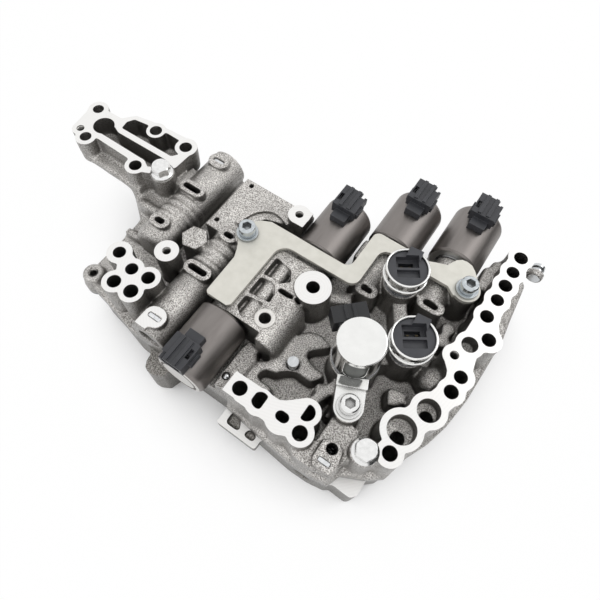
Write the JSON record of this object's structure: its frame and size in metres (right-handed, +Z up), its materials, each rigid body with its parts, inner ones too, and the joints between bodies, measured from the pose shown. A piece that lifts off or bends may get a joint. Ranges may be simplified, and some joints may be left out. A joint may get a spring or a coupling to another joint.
{
  "type": "transmission valve body",
  "caption": "Hydraulic valve body of a car's automatic transmission: bolted die-cast halves with drilled mating pads, valve tubes, clamped solenoids and sliding spools.",
  "frame": {"origin": "on the resting plane, on the axis of the middle bolt hole", "axes": "+Z up out of the mating face, +Y to the rear where three lying solenoids point, +X to the long port strip"},
  "size_m": [0.2998, 0.1914, 0.082],
  "materials": {
    "cast_upper": "die cast, fine grain",
    "cast_lower": "die cast, fine grain",
    "machined_aluminium": "turned",
    "plate_steel": "rolled sheet",
    "bracket_steel": "matt zinc plated sheet",
    "zinc_steel": "zinc plated",
    "can_steel": "satin drawn steel",
    "bright_steel": "bright plated",
    "nose_steel": "turned",
    "ground_steel": "ground",
    "clip_steel": "bright strip",
    "spring_steel": "wound wire",
    "black_plastic": "moulded",
    "socket_plastic": "moulded",
    "coil_plastic": "moulded over the coil",
    "seal_rubber": "smooth",
    "terminal_brass": "plated blades"
  },
  "bodies": {
    "body": {"upper_body": "cast_upper", "separator_plate": "plate_steel", "lower_body": "cast_lower", "lower_plug": "machined_aluminium", "dowel_pins": "ground_steel", "locating_pin": "ground_steel", "passage_ball": "ground_steel", "retaining_bracket": "bracket_steel", "bracket_washers": "zinc_steel", "bracket_screws": "zinc_steel", "flange_bolts": "zinc_steel", "base_bolts": "zinc_steel", "solenoid_a_can": "can_steel", "solenoid_b_can": "can_steel", "solenoid_c_can": "can_steel", "solenoid_d_can": "can_steel", "solenoid_a_plug": "black_plastic", "solenoid_b_plug": "black_plastic", "solenoid_c_plug": "black_plastic", "solenoid_d_plug": "black_plastic", "solenoid_a_nose": "nose_steel", "solenoid_b_nose": "nose_steel", "solenoid_c_nose": "nose_steel", "solenoid_d_nose": "nose_steel", "nose_seals": "seal_rubber", "plug_terminals": "terminal_brass", "solenoid_e_can": "bright_steel", "solenoid_f_can": "bright_steel", "solenoid_e_socket": "socket_plastic", "solenoid_f_socket": "socket_plastic", "solenoid_e_nose": "nose_steel", "solenoid_f_nose": "nose_steel", "socket_terminals": "terminal_brass", "solenoid_g_can": "bright_steel", "solenoid_g_window": "coil_plastic", "solenoid_g_nose": "nose_steel", "solenoid_g_plug": "black_plastic", "upright_seals": "seal_rubber", "clamp_plate": "bright_steel", "clamp_washer": "zinc_steel", "clamp_screw": "zinc_steel", "spring_1": "spring_steel", "spring_2": "spring_steel", "spring_3": "spring_steel", "end_plug_1": "machined_aluminium", "end_plug_2": "machined_aluminium", "end_plug_3": "machined_aluminium", "retainer_1": "clip_steel", "retainer_2": "clip_steel", "retainer_3": "clip_steel"},
    "spool_1": {"spool_1": "ground_steel"},
    "spool_2": {"spool_2": "ground_steel"},
    "spool_3": {"spool_3": "ground_steel"},
    "manual_valve": {"manual_valve": "ground_steel"}
  },
  "joints": [
    {"name": "spool_1_slide", "type": "slide", "parent": "body", "child": "spool_1", "axis": [0, 1, 0], "range_m": [0, 0.008], "stiffness_N_per_m": 400, "deforming": ["spring_1"]},
    {"name": "spool_2_slide", "type": "slide", "parent": "body", "child": "spool_2", "axis": [0, -1, 0], "range_m": [0, 0.008], "stiffness_N_per_m": 400, "deforming": ["spring_2"]},
    {"name": "spool_3_slide", "type": "slide", "parent": "body", "child": "spool_3", "axis": [0, -1, 0], "range_m": [0, 0.003], "stiffness_N_per_m": 400, "deforming": ["spring_3"]},
    {"name": "manual_valve_slide", "type": "slide", "parent": "body", "child": "manual_valve", "axis": [0, 1, 0], "range_m": [-0.005, 0]}
  ]
}
